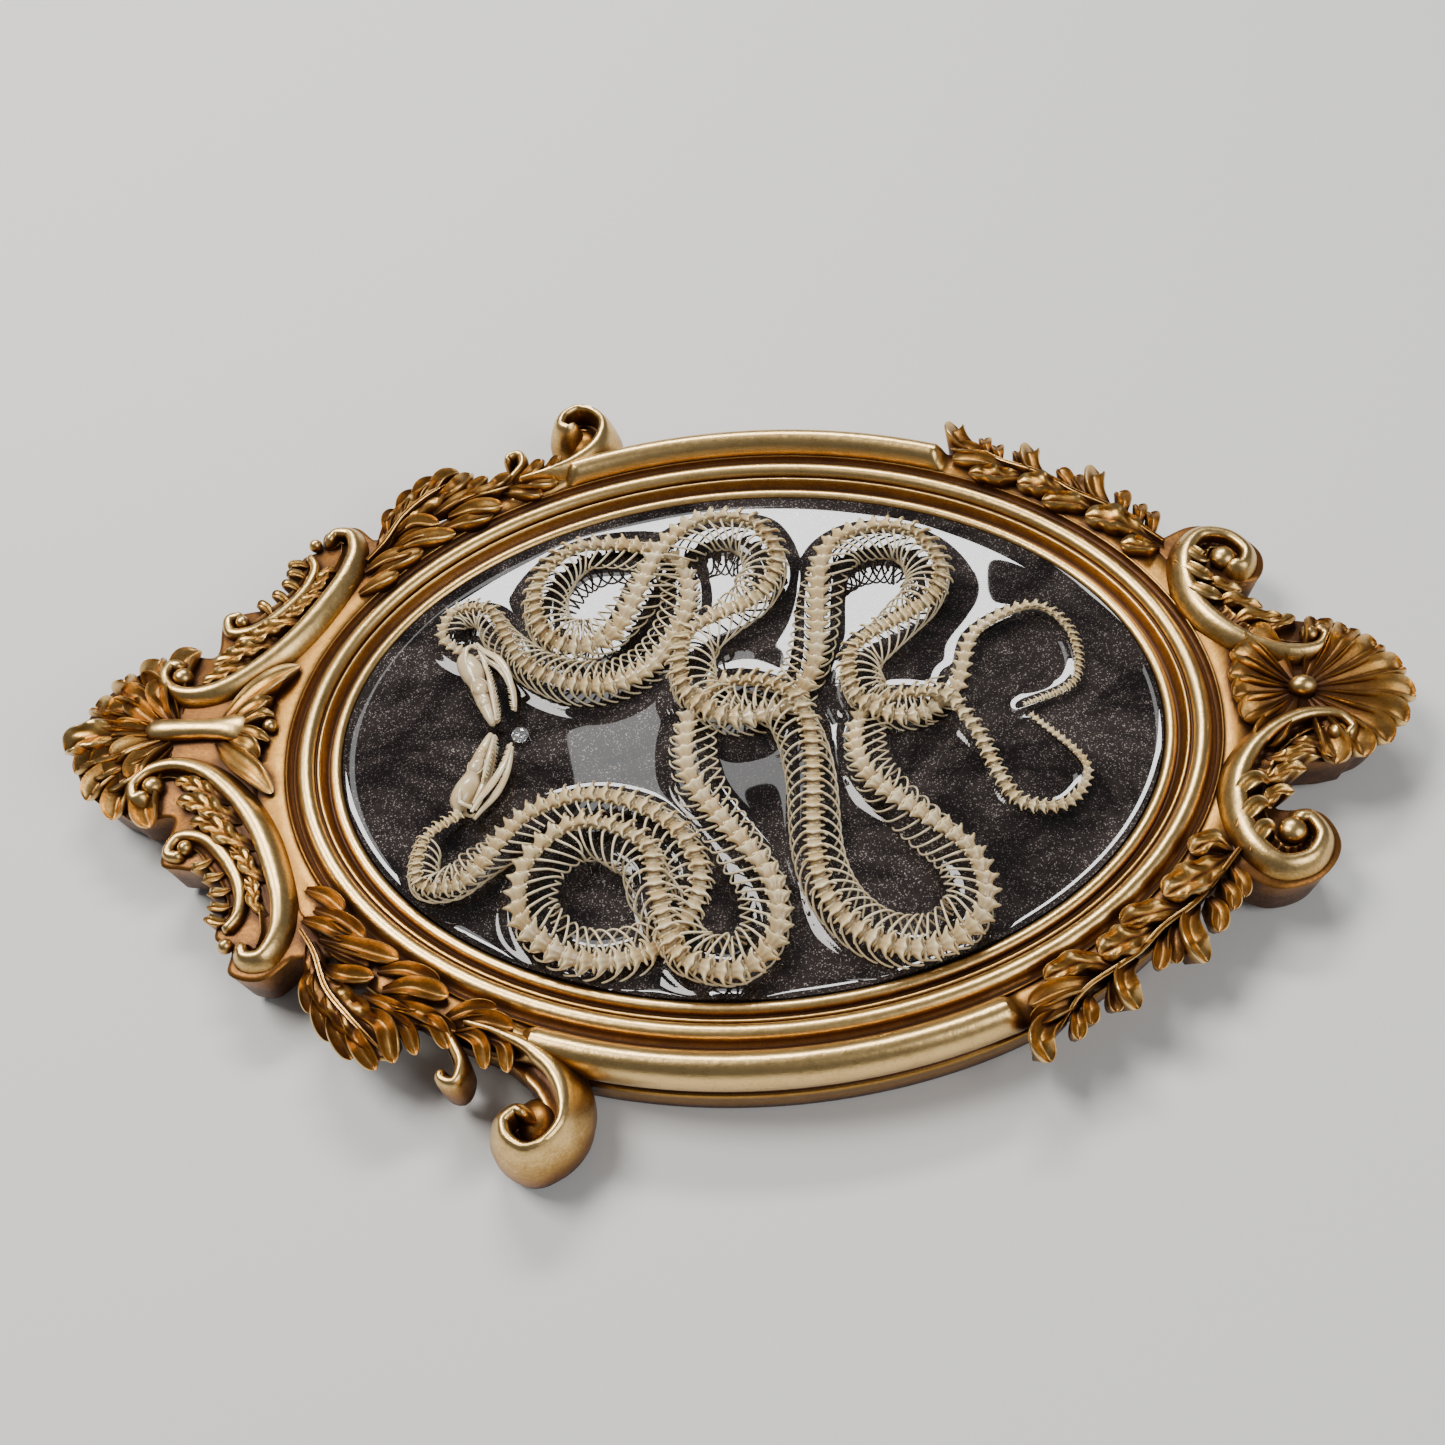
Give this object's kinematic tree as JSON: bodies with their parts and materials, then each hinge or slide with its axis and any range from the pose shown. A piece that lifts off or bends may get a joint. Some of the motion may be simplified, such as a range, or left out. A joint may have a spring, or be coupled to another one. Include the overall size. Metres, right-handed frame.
{
  "type": "framed snake skeleton mount",
  "caption": "Small snake skeletons with open jaws, coiled on dark glossy resin inside an ornate gilded oval frame that rests on its flat back.",
  "frame": {"origin": "centre of the oval on the flat back of the frame", "axes": "+X along the oval's long axis from the leafy crest to the shell-shaped foot, +Z out of the front, towards the viewer"},
  "size_m": [0.3309, 0.227, 0.0213],
  "materials": {
    "antique_gold": "gold leaf over carved composition, worn to copper and dark brown in the hollows",
    "back_board": "dark stained board",
    "black_resin": "poured black resin with copper and gold glitter, high gloss",
    "bone": "dry cream bone, tan in the hollows, slightly translucent at thin edges",
    "clear_stone": "faceted clear stone"
  },
  "bodies": {
    "root": {"moulding": "antique_gold", "crest_backing": "antique_gold", "crest_palmette": "antique_gold", "crest_bar": "antique_gold", "crest_scroll_upper": "antique_gold", "crest_scroll_lower": "antique_gold", "crest_small_scroll_upper": "antique_gold", "crest_small_scroll_lower": "antique_gold", "foot_backing": "antique_gold", "foot_shell": "antique_gold", "foot_knob": "antique_gold", "foot_scroll_upper": "antique_gold", "foot_scroll_lower": "antique_gold", "volute_backing_upper": "antique_gold", "volute_upper": "antique_gold", "garland_left_upper": "antique_gold", "garland_right_upper": "antique_gold", "volute_backing_lower": "antique_gold", "volute_lower": "antique_gold", "garland_left_lower": "antique_gold", "garland_right_lower": "antique_gold", "back_board": "back_board", "resin_bed": "black_resin", "snake_cranium": "bone", "snake_upper_jaw": "bone", "snake_lower_jaw_top": "bone", "snake_lower_jaw_bottom": "bone", "snake_neck_left": "bone", "snake_neck_right": "bone", "snake_trunk_1_left": "bone", "snake_trunk_1_right": "bone", "snake_trunk_2_left": "bone", "snake_trunk_2_right": "bone", "snake_trunk_3_left": "bone", "snake_trunk_3_right": "bone", "snake_trunk_4_left": "bone", "snake_trunk_4_right": "bone", "snake_trunk_5_left": "bone", "snake_trunk_5_right": "bone", "snake_tail": "bone", "companion_snake": "bone", "clear_stone": "clear_stone"}
  },
  "joints": []
}
